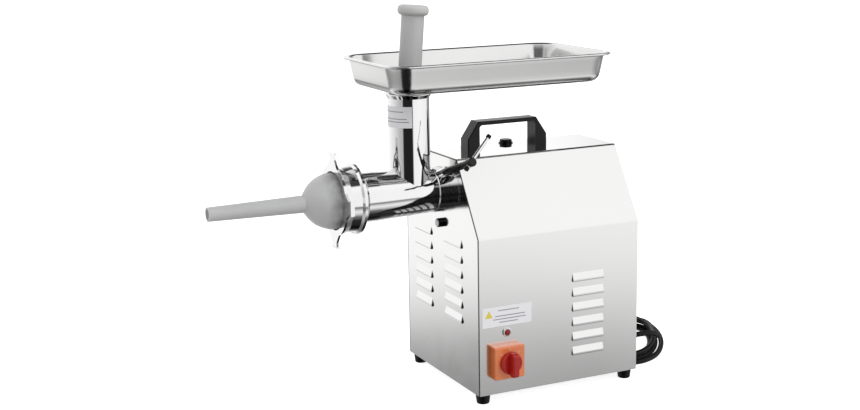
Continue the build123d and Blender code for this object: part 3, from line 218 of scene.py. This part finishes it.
def brushed(name, colour, rough, grain, depth=0.25):
    """Brushed sheet: fine streaks along the axis whose grain number is small."""
    look = Look(name, Metallic=1.0)
    fine = look.noise(1.0, 2.0, grain, 0.7)
    broad = look.noise(7.0, 3.0)
    look.colour(look.blend(look.fit(broad, 0, 1), tinted(colour, 0.97), tinted(colour, 1.03)))
    mixed_grain = look.math("ADD", look.math("MULTIPLY", fine, 0.6), look.math("MULTIPLY", broad, 0.4))
    look.roughness(look.fit(mixed_grain, rough * 0.86, rough * 1.16, 0.35, 0.65))
    look.bump(fine, depth, 0.00004)
    return look.material


def bright_case(name):
    """Satin side walls, a mirror-bright top and a painted shadow line along the front edge, where the sheet
    meets the front panel.
    """
    look = Look(name, Metallic=1.0)
    fine = look.noise(1.0, 2.0, (900, 900, 9), 0.6)
    broad = look.noise(4.0, 2.0)
    facing = look.add("ShaderNodeSeparateXYZ", Vector=look.add("ShaderNodeNewGeometry").outputs["Normal"])
    flat = look.fit(facing.outputs["Z"], 0, 1, 0.94, 0.99)
    # Painted shadow: the first millimetre of sheet at the front is darkened to stand for the shade in the
    # joint with the front panel.
    painted_gap_shade = look.fit(look.xyz()[1], 1, 0, FRONT + 0.7 * MM, FRONT + 1.1 * MM)
    sheet = look.blend(look.fit(broad, 0, 1), (0.775, 0.775, 0.77), (0.80, 0.80, 0.795))
    look.colour(look.blend(painted_gap_shade, sheet, (0.10, 0.10, 0.10)))
    satin = look.fit(flat, 0.16, 0.03, 0, 1)
    look.roughness(look.math("MULTIPLY", satin, look.fit(broad, 0.94, 1.07)))
    look.bump(look.math("MULTIPLY", fine, look.fit(flat, 1, 0, 0, 1)), 0.10, 0.00003)
    return look.material


def polished(name, colour, rough=0.07):
    """Mirror polished metal with faint haze and wipe marks."""
    look = Look(name, Metallic=1.0)
    haze = look.noise(14.0, 4.0, (1, 0.5, 1), 0.6, 0.8)
    scratch = look.noise(1.0, 2.0, (900, 60, 900), 0.7)
    look.colour(look.blend(look.fit(haze, 0, 1), tinted(colour, 0.975), tinted(colour, 1.0)))
    look.roughness(look.fit(haze, rough * 0.8, rough * 1.5))
    look.bump(scratch, 0.05, 0.00002)
    return look.material


def moulded(name, colour, rough, grain=900.0, depth=0.12, shade=0.06, **settings):
    """Moulded plastic or rubber with a fine grain and slight unevenness."""
    look = Look(name, **settings)
    fine = look.noise(grain, 2.0)
    broad = look.noise(25.0, 3.0)
    look.colour(look.blend(look.fit(broad, 0, 1), tinted(colour, 1 - shade), tinted(colour, 1 + shade)))
    look.roughness(look.fit(broad, rough * 0.9, rough * 1.12))
    look.bump(fine, depth, 0.00006)
    return look.material


def milky(name, colour):
    """Translucent white moulding; near the funnel's wide end a soft, mottled painted shadow of the plate
    behind darkens the colour.
    """
    look = Look(name, IOR=1.5, Subsurface_Weight=0.25, Subsurface_Scale=0.01)
    look.shader.inputs["Subsurface Radius"].default_value = (1.0, 1.0, 0.9)
    cloud = look.noise(30.0, 3.0)
    base = look.blend(look.fit(cloud, 0, 1), tinted(colour, 0.97), tinted(colour, 1.02))
    y = look.xyz()[1]
    # Painted shadow: the funnel darkens towards its wide end, mottled by noise, to stand for the plate seen
    # through it.
    painted_plate_shade = look.fit(y, 0.0, 1.0, FRONT - 166 * MM, FRONT - 152 * MM)
    on_funnel = look.math("LESS_THAN", y, FRONT - 136 * MM)
    painted_shade_mottle = look.math("MULTIPLY", look.fit(look.noise(70.0, 2.0), 0.15, 0.85), on_funnel)
    base = look.blend(look.math("MULTIPLY", painted_plate_shade, painted_shade_mottle), base, tinted(colour, 0.30))
    look.colour(base)
    look.roughness(look.fit(cloud, 0.30, 0.42))
    look.bump(look.noise(500.0, 2.0), 0.05, 0.00005)
    return look.material


def banded(name, dark, light, pitch, axis, metallic, rough):
    """Fine parallel layers, as on a stack of sheets or a winding."""
    look = Look(name, Metallic=metallic)
    wave = look.add("ShaderNodeTexWave", Vector=look.coords, Scale=pitch, Distortion=0.4, Detail=1.0)
    wave.bands_direction = axis
    look.colour(look.blend(wave.outputs["Fac"], dark, light))
    look.roughness(look.fit(look.noise(40.0), rough * 0.85, rough * 1.2))
    look.bump(wave.outputs["Fac"], 0.4, 0.0002)
    return look.material


def cast(name, colour, rough):
    """Gritty cast metal."""
    look = Look(name, Metallic=0.9)
    grit = look.noise(350.0, 4.0)
    look.colour(look.blend(look.fit(grit, 0, 1), tinted(colour, 0.9), tinted(colour, 1.08)))
    look.roughness(look.fit(grit, rough * 0.9, rough * 1.15))
    look.bump(grit, 0.3, 0.0002)
    return look.material


VERTICAL, ALONG, ROUND = (1500, 1500, 14), (1500, 14, 1500), (1200, 20, 1200)

LOOKS = {
    "case_sheet": bright_case("case_sheet"),
    "panel_sheet": polished("panel_sheet", (0.82, 0.82, 0.815), 0.10),
    "plain_sheet": brushed("plain_sheet", (0.45, 0.45, 0.45), 0.42, ALONG),
    "screw_steel": brushed("screw_steel", (0.5, 0.5, 0.51), 0.35, ROUND, 0.15),
    "bar_chrome": polished("bar_chrome", (0.8, 0.8, 0.81), 0.06),
    "black_screw": brushed("black_screw", (0.035, 0.034, 0.033), 0.30, ROUND, 0.3),
    "black_rubber": moulded("black_rubber", (0.003, 0.003, 0.003), 0.45, 600.0, 0.2, Specular_IOR_Level=0.22),
    "black_plastic": moulded("black_plastic", (0.003, 0.003, 0.003), 0.3, 1400.0, 0.2,
                             Specular_IOR_Level=0.25),
    "light_cap": moulded("light_cap", (0.75, 0.75, 0.75), 0.3),
    "orange_plastic": moulded("orange_plastic", (0.80, 0.22, 0.07), 0.28, depth=0.06, Coat_Weight=1.0,
                              Coat_Roughness=0.15),
    "red_plastic": moulded("red_plastic", (0.42, 0.013, 0.010), 0.22),
    "red_lens": moulded("red_lens", (0.5, 0.03, 0.02), 0.12, 300.0, 0.05, 0.1, Transmission_Weight=0.5),
    "label_film": moulded("label_film", (0.90, 0.90, 0.93), 0.30, 200.0, 0.02, 0.015),
    "cast_case": cast("cast_case", (0.55, 0.55, 0.55), 0.45),
    "tool_steel": brushed("tool_steel", (0.42, 0.42, 0.42), 0.28, ROUND, 0.2),
    "lamination": banded("lamination", (0.05, 0.05, 0.055), (0.3, 0.3, 0.31), 300.0, "Y", 0.8, 0.45),
    "winding_copper": banded("winding_copper", (0.25, 0.08, 0.02), (0.75, 0.3, 0.1), 260.0, "Y", 0.9, 0.3),
    "motor_paint": moulded("motor_paint", (0.05, 0.055, 0.06), 0.4, 500.0, 0.3),
    "capacitor_shell": moulded("capacitor_shell", (0.75, 0.75, 0.72), 0.3),
    "spring_steel": brushed("spring_steel", (0.4, 0.4, 0.41), 0.25, ALONG),
    "pale_nylon": moulded("pale_nylon", (0.75, 0.72, 0.62), 0.45),
    "polished_steel": polished("polished_steel", (0.80, 0.80, 0.80), 0.055),
    "bronze": brushed("bronze", (0.55, 0.33, 0.12), 0.3, ROUND),
    "milky_plastic": milky("milky_plastic", (0.57, 0.575, 0.57)),
    "tray_steel": brushed("tray_steel", (0.74, 0.74, 0.735), 0.17, VERTICAL, 0.18),
    "label_yellow": moulded("label_yellow", (0.80, 0.66, 0.10), 0.35),
    "label_grey": moulded("label_grey", (0.30, 0.30, 0.32), 0.4),
    "mark_print": moulded("mark_print", (0.70, 0.42, 0.25), 0.4),
    "pin_brass": polished("pin_brass", (0.72, 0.68, 0.55), 0.12),
}


def dress_cad_nodes():
    """Every CAD node wears the look of its material slot."""
    for row in frame["record"]["subparts"]:
        piece = nodes[row["node"]]
        for own in piece.material_slots:
            own.material = LOOKS[row["material_slot"]]


# ---------------------------------------------------------------- mains lead
CORD_D = 7.2 * MM
COIL_CENTRE, COIL_TURN = Vector((-20 * MM, BACK + 70 * MM, 0)), radians(-34.8)
COIL_LONG, COIL_SHORT = 92 * MM, 46 * MM
GLAND_X, GLAND_Z = 62 * MM, 44 * MM
PLUG_TAIL_X, PLUG_ACROSS, PLUG_HEIGHT = -39 * MM, -34 * MM, 34 * MM
ROUTE = [
    (GLAND_X, BACK + 28 * MM, GLAND_Z), (62.0 * MM, BACK + 46 * MM, GLAND_Z),
    (57.5 * MM, BACK + 61 * MM, 39 * MM), (47.5 * MM, BACK + 73 * MM, 31.5 * MM),
    (32.0 * MM, BACK + 82 * MM, 26 * MM),
]
TURN_STEPS = 16
# Through the coil, in turns from its long end: inset from the coil's edge and height, in millimetres.
STRAND = [
    (0.22, 12.0, 23.0), (0.40, 17.0, 18.5), (0.60, 19.6, 12.3), (0.90, 19.6, 3.8), (1.90, 12.0, 3.8),
    (2.70, 5.2, 3.8), (2.95, 0.0, 3.8), (3.15, -1.5, 3.8), (3.30, 1.5, 7.5), (3.45, 5.0, 11.5),
    (3.70, 7.5, 11.5), (3.92, 11.0, 11.6), (4.10, 12.0, 11.6), (4.35, 11.5, 12.5), (4.48, 11.5, 16.5),
]


def coil_to_world(x, y, z):
    """A point of the coil's own frame, in the world."""
    turned = Matrix.Rotation(COIL_TURN, 3, "Z") @ Vector((x, y, z))
    return COIL_CENTRE + turned


def eased(value, table):
    """Inset and height at a place along the strand, between the table's rows."""
    for (a, *low), (b, *high) in zip(table, table[1:]):
        if value <= b:
            t = (value - a) / (b - a)
            return [p + (q - p) * t for p, q in zip(low, high)]
    return list(table[-1][1:])


def coil_points():
    """The coil's turns, from where the lead lands, and the rise to the plug's tail."""
    points = []
    steps = int((STRAND[-1][0] - STRAND[0][0]) * TURN_STEPS)
    for k in range(steps + 1):
        at = STRAND[0][0] + k / TURN_STEPS
        inset, height = eased(at, STRAND)
        a = tau * at
        points.append(coil_to_world(
            (COIL_LONG - inset * MM) * cos(a), (COIL_SHORT - inset * MM) * sin(a), height * MM))
    points.append(coil_to_world(PLUG_TAIL_X - 34 * MM, PLUG_ACROSS + 11 * MM, 27 * MM))
    points.append(coil_to_world(PLUG_TAIL_X - 16 * MM, PLUG_ACROSS + 1 * MM, PLUG_HEIGHT))
    points.append(coil_to_world(PLUG_TAIL_X + 1 * MM, PLUG_ACROSS, PLUG_HEIGHT))
    return points


def mains_lead():
    """One smooth spline from the gland through the coil to the plug."""
    route = [Vector(p) for p in ROUTE] + coil_points()
    curve = bpy.data.curves.new("mains_lead", "CURVE")
    curve.dimensions = "3D"
    spline = curve.splines.new("NURBS")
    spline.points.add(len(route) - 1)
    for handle, p in zip(spline.points, route):
        handle.co = (*p, 1.0)
    spline.order_u = 3
    spline.use_endpoint_u = True
    spline.resolution_u = 6
    curve.bevel_depth = CORD_D / 2
    curve.bevel_resolution = 5
    curve.use_fill_caps = True
    curve.materials.append(LOOKS["black_rubber"])
    lead = bpy.data.objects.new("mains_lead", curve)
    scene.collection.objects.link(lead)
    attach(lead, "housing")
    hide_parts("mains_cord", "cord_coil")


# ---------------------------------------------------------------- feed tray
def rounded_rectangle(half_w, half_l, corner, z, steps):
    """Points of a rounded rectangle about the tray's centre, steps to each corner."""
    centre_y = (tray_low.y + tray_high.y) / 2
    points = []
    for quarter, (sx, sy) in enumerate(((1, 1), (-1, 1), (-1, -1), (1, -1))):
        cx, cy = sx * (half_w - corner), centre_y + sy * (half_l - corner)
        for k in range(steps + 1):
            a = pi / 2 * (quarter + k / steps)
            points.append(Vector((cx + corner * cos(a), cy + corner * sin(a), z)))
    return points


SHEET, LIP, CORNER, NECK, BEAD = 1.2 * MM, 5.0 * MM, 30.0 * MM, 24.1 * MM, 1.75 * MM
SHOULDER, LEAN = 27.6 * MM, radians(12)
RIM, NECK_END = tray_high.z, tray_low.z
FLOOR = NECK_END + 22 * MM


def tray_section(inset, z):
    """The tray's outline, inset from its rim; the corners tighten towards the floor."""
    half_w, half_l = (tray_high.x - tray_low.x) / 2, (tray_high.y - tray_low.y) / 2
    corner = min(CORNER, CORNER + 6 * MM - inset)
    return rounded_rectangle(half_w - inset, half_l - inset, corner, z, 14)


def tray_skin(skin, bend):
    """Rings from the floor's edge, round the bend and up the leaning wall, skin inside the outside."""
    floor = FLOOR + skin
    foot = LIP + skin + (RIM - floor) * tan(LEAN)
    turn = pi / 2 - LEAN
    rings = []
    for k in range(9):
        a = turn * k / 8
        rings.append(tray_section(foot + bend * (tan(turn / 2) - sin(a)), floor + bend * (1 - cos(a))))
    start = floor + bend * (1 - cos(turn))
    for k in range(1, 5):
        z = start + (RIM - 2.4 * MM - start) * k / 4
        rings.append(tray_section(LIP + skin + (RIM - z) * tan(LEAN), z))
    return rings


def tray_rim():
    """Under the flat lip, round its rolled edge and back over the top."""
    rings = [tray_section(LIP, RIM - 1.2 * MM)]
    for k in range(9):
        a = radians(-110 + 200 * k / 8)
        rings.append(tray_section(BEAD - BEAD * cos(a), RIM - BEAD + BEAD * sin(a)))
    rings.append(tray_section(LIP - 0.6 * MM, RIM - 0.1 * MM))
    rings.append(tray_section(LIP + 0.9 * MM, RIM - 0.9 * MM))
    return rings


def neck_ring(like, radius, z):
    """A circle about the feed tube's axis, with as many points as the outline it joins."""
    ring = []
    for p in like:
        way = Vector((p.x - TUBE_X, p.y - TUBE_Y, 0)).normalized()
        ring.append(Vector((TUBE_X + way.x * radius, TUBE_Y + way.y * radius, z)))
    return ring


def feed_tray():
    """Deep drawn tray: one lofted skin from its neck, over the rolled rim and down inside."""
    outer, inner = tray_skin(0, 13 * MM), tray_skin(SHEET, 11.8 * MM)[::-1]
    like, bore, top = outer[0], NECK - 1.0 * MM, FLOOR + SHEET
    outside = [neck_ring(like, r, z) for r, z in (
        (NECK, NECK_END), (NECK, FLOOR - 6.0 * MM), (SHOULDER, FLOOR - 6.0 * MM),
        (SHOULDER, FLOOR - 0.2 * MM), (SHOULDER + 0.4 * MM, FLOOR))]
    inside = [neck_ring(like, r, z) for r, z in (
        (bore + 2.4 * MM, top), (bore, top - 2.2 * MM), (bore, NECK_END))]
    mesh = rings_mesh("feed_tray_skin", outside + outer + tray_rim() + inner + inside)
    tray = new_object("feed_tray_skin", mesh, "tray", LOOKS["tray_steel"])
    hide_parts("feed_tray")
    sharpen(tray)


# ---------------------------------------------------------------- labels
def bar_mesh(name, bars, place):
    """Thin unbroken rules; place(u, v, depth) puts a point of the sheet in space."""
    points, faces = [], []
    for u0, u1, v0, v1 in bars:
        base, steps = len(points), 24
        for k in range(steps + 1):
            u = u0 + (u1 - u0) * k / steps
            points += [place(u, v0, 0.06 * MM), place(u, v1, 0.06 * MM), place(u, v1, 0), place(u, v0, 0)]
        for k in range(steps):
            a, b = base + 4 * k, base + 4 * k + 4
            faces += [(a + i, a + (i + 1) % 4, b + (i + 1) % 4, b + i) for i in range(4)]
        faces += [(base + 3, base + 2, base + 1, base), tuple(base + 4 * steps + i for i in range(4))]
    return mesh_of(name, points, faces, False)


def side_label_marks():
    """A plain yellow triangle and unbroken grey rules on the side label."""
    low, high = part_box("side_label")
    wide, tall = high.y - low.y, high.z - low.z

    def place(u, v, depth):
        return Vector((high.x + depth, low.y + u * wide, low.z + v * tall))

    size = 0.25 * tall
    outline = [place(0.13 + size * sin(a) / wide, 0.60 + size * cos(a) / tall, 0.1 * MM) for a in around(3)]
    under = [p - Vector((0.15 * MM, 0, 0)) for p in outline]
    faces = [(0, 1, 2), (5, 4, 3), (0, 3, 4, 1), (1, 4, 5, 2), (2, 5, 3, 0)]
    mesh = mesh_of("label_triangle", outline + under, faces, False)
    triangle = new_object("label_triangle", mesh, "housing", LOOKS["label_yellow"])
    sharpen(triangle, bevel=0.3 * MM)
    rows = [(0.32, 0.74, 0.80), (0.26, 0.86, 0.52), (0.22, 0.88, 0.36), (0.34, 0.72, 0.20)]
    bars = [(u0, u1, v - 0.022, v + 0.022) for u0, u1, v in rows]
    rules = bar_mesh("label_rules", bars, place)
    new_object("label_rules", rules, "housing", LOOKS["label_grey"])


def tube_label_marks():
    """Faint unbroken rules round the feed tube's label."""
    reach = TUBE_Y - tube_low.y

    def place(u, v, depth):
        a = radians(-165 + 150 * u)
        r = reach - 0.01 * MM + depth
        return Vector((TUBE_X + r * cos(a), TUBE_Y + r * sin(a), tube_low.z + v * (tube_high.z - tube_low.z)))

    rows = [(0.30, 0.84, 0.76), (0.36, 0.90, 0.42), (0.30, 0.94, 0.28)]
    bars = [(u0, u1, v - 0.02, v + 0.02) for u0, u1, v in rows]
    new_object("tube_rules", bar_mesh("tube_rules", bars, place), "head", LOOKS["label_grey"])


def switch_marks():
    """Three small position marks above the knob."""
    centre = (switch_low + switch_high) / 2

    def place(u, v, depth):
        turned = radians(45 * u)
        r = v * MM
        return Vector((switch_high.x + depth, centre.y + r * sin(turned), centre.z + r * cos(turned)))

    bars = [(k - 0.07, k + 0.07, 15.6, 18.6) for k in (-1, 0, 1)]
    new_object("switch_marks", bar_mesh("switch_marks", bars, place), "housing",
               LOOKS["mark_print"])


# ---------------------------------------------------------------- studio
def paper_floor():
    """Seamless white paper, washed out by its own glow."""
    reach = 30.0
    mesh = mesh_of("floor", [(-reach, -reach, 0), (reach, -reach, 0), (reach, reach, 0), (-reach, reach, 0)],
                   [(0, 1, 2, 3)], False)
    look = Look("floor_paper", Roughness=0.9)
    soft = look.noise(1.5, 2.0)
    paper = look.blend(look.fit(soft, 0, 1), (0.93, 0.93, 0.93), (0.94, 0.94, 0.94))
    look.colour(paper)
    look.tree.links.new(paper, look.shader.inputs["Emission Color"])
    look.shader.inputs["Emission Strength"].default_value = 0.85
    mesh.materials.append(look.material)
    floor = bpy.data.objects.new("floor", mesh)
    scene.collection.objects.link(floor)
    floor.visible_glossy = False
    floor.visible_diffuse = False


AROUND_LOW = [
    (-180, 1.0), (-155, 1.0), (-115, 0.80), (-75, 0.52), (-58, 0.45), (-54, 0.015), (-4, 0.015), (1, 0.95),
    (40, 1.0), (92, 0.92), (101, 0.30), (138, 0.30), (150, 1.0), (180, 1.0),
]
AROUND_HIGH = [(-180, 1.0), (92, 0.95), (101, 0.03), (157, 0.03), (166, 0.95), (180, 1.0)]
BY_HEIGHT = [
    (-1, 0.02), (-0.906, 0.02), (-0.766, 0.2), (-0.68, 0.65), (-0.559, 0.92), (-0.45, 0.60), (-0.37, 0.26),
    (-0.325, 0.28), (-0.305, 0.44), (-0.285, 0.72), (-0.26, 0.92), (-0.235, 1.0), (0.4, 1.0), (0.74, 1.08),
    (0.80, 0.05), (1.0, 0.05),
]


def room():
    """White walls, dark round the viewer, below and straight above."""
    world = bpy.data.worlds.new("room")
    scene.world = world
    world.use_nodes = True
    tree = world.node_tree
    tree.nodes.clear()
    ways = tree.nodes.new("ShaderNodeTexCoord")
    split = tree.nodes.new("ShaderNodeSeparateXYZ")
    tree.links.new(ways.outputs["Generated"], split.inputs[0])
    azimuth = tree.nodes.new("ShaderNodeMath")
    azimuth.operation = "ARCTAN2"
    tree.links.new(split.outputs["Y"], azimuth.inputs[0])
    tree.links.new(split.outputs["X"], azimuth.inputs[1])
    turn = ranged(tree, azimuth.outputs[0], -pi, pi, 0, 1)
    low = ramp(tree, turn, AROUND_LOW, lambda v: (v + 180) / 360)
    high = ramp(tree, turn, AROUND_HIGH, lambda v: (v + 180) / 360)
    levels = ramp(tree, ranged(tree, split.outputs["Z"], -1, 1, 0, 1), BY_HEIGHT, lambda v: (v + 1) / 2)
    walls = mixed(tree, ranged(tree, split.outputs["Z"], 0.30, 0.55, 0, 1), low, high)
    glow = tree.nodes.new("ShaderNodeMath")
    glow.operation = "MULTIPLY"
    tree.links.new(walls, glow.inputs[0])
    tree.links.new(levels, glow.inputs[1])
    path = tree.nodes.new("ShaderNodeLightPath")
    lit = mixed(tree, path.outputs["Is Glossy Ray"], 0.58, glow.outputs[0])
    seen = mixed(tree, path.outputs["Is Camera Ray"], lit, 1.0)
    background = tree.nodes.new("ShaderNodeBackground")
    background.inputs["Strength"].default_value = 1.15
    tree.links.new(seen, background.inputs["Color"])
    out = tree.nodes.new("ShaderNodeOutputWorld")
    tree.links.new(background.outputs[0], out.inputs[0])


def studio():
    """Plain pale floor, soft lights and the room."""
    paper_floor()
    add_area("key_light", (1.2, 0.6, 1.9), (0, 0, 0.2), 1.6, 18)
    add_area("fill_light", (-0.6, -1.8, 1.5), (0, -0.1, 0.2), 1.8, 2)
    room()
    scene.view_settings.view_transform = "Standard"


def ranged(tree, value, a, b, c, d):
    """The value's range a to b, mapped to c to d."""
    node = tree.nodes.new("ShaderNodeMapRange")
    tree.links.new(value, node.inputs[0])
    for index, number in enumerate((a, b, c, d), start=1):
        node.inputs[index].default_value = number
    return node.outputs[0]


def ramp(tree, value, stops, place):
    """Grey levels at given positions; place turns a position into 0 to 1."""
    node = tree.nodes.new("ShaderNodeValToRGB")
    tree.links.new(value, node.inputs[0])
    marks = node.color_ramp.elements
    for stop in stops[1:-1]:
        marks.new(place(stop[0]))
    for mark, (position, level) in zip(marks, stops):
        mark.position = place(position)
        mark.color = (level, level, level, 1)
    return node.outputs[0]


def mixed(tree, factor, first, second):
    """A number between the first and the second, each a socket or a plain value."""
    node = tree.nodes.new("ShaderNodeMix")
    tree.links.new(factor, node.inputs[0])
    for value, socket in ((first, node.inputs[2]), (second, node.inputs[3])):
        if isinstance(value, bpy.types.NodeSocket):
            tree.links.new(value, socket)
        else:
            socket.default_value = value
    return node.outputs[0]


def add_area(name, place, target, size, power):
    """A round soft light at a place, turned to its target and hidden from reflections."""
    data = bpy.data.lights.new(name, "AREA")
    data.shape, data.size, data.energy = "DISK", size, power
    light = bpy.data.objects.new(name, data)
    way = Vector(target) - Vector(place)
    light.matrix_world = Matrix.Translation(place) @ way.to_track_quat("-Z", "Y").to_matrix().to_4x4()
    light.visible_glossy = False
    scene.collection.objects.link(light)


# ---------------------------------------------------------------- the object
add_camera()
mains_lead()
dress_cad_nodes()
feed_tray()
side_label_marks()
tube_label_marks()
switch_marks()
studio()

bpy.context.view_layer.update()
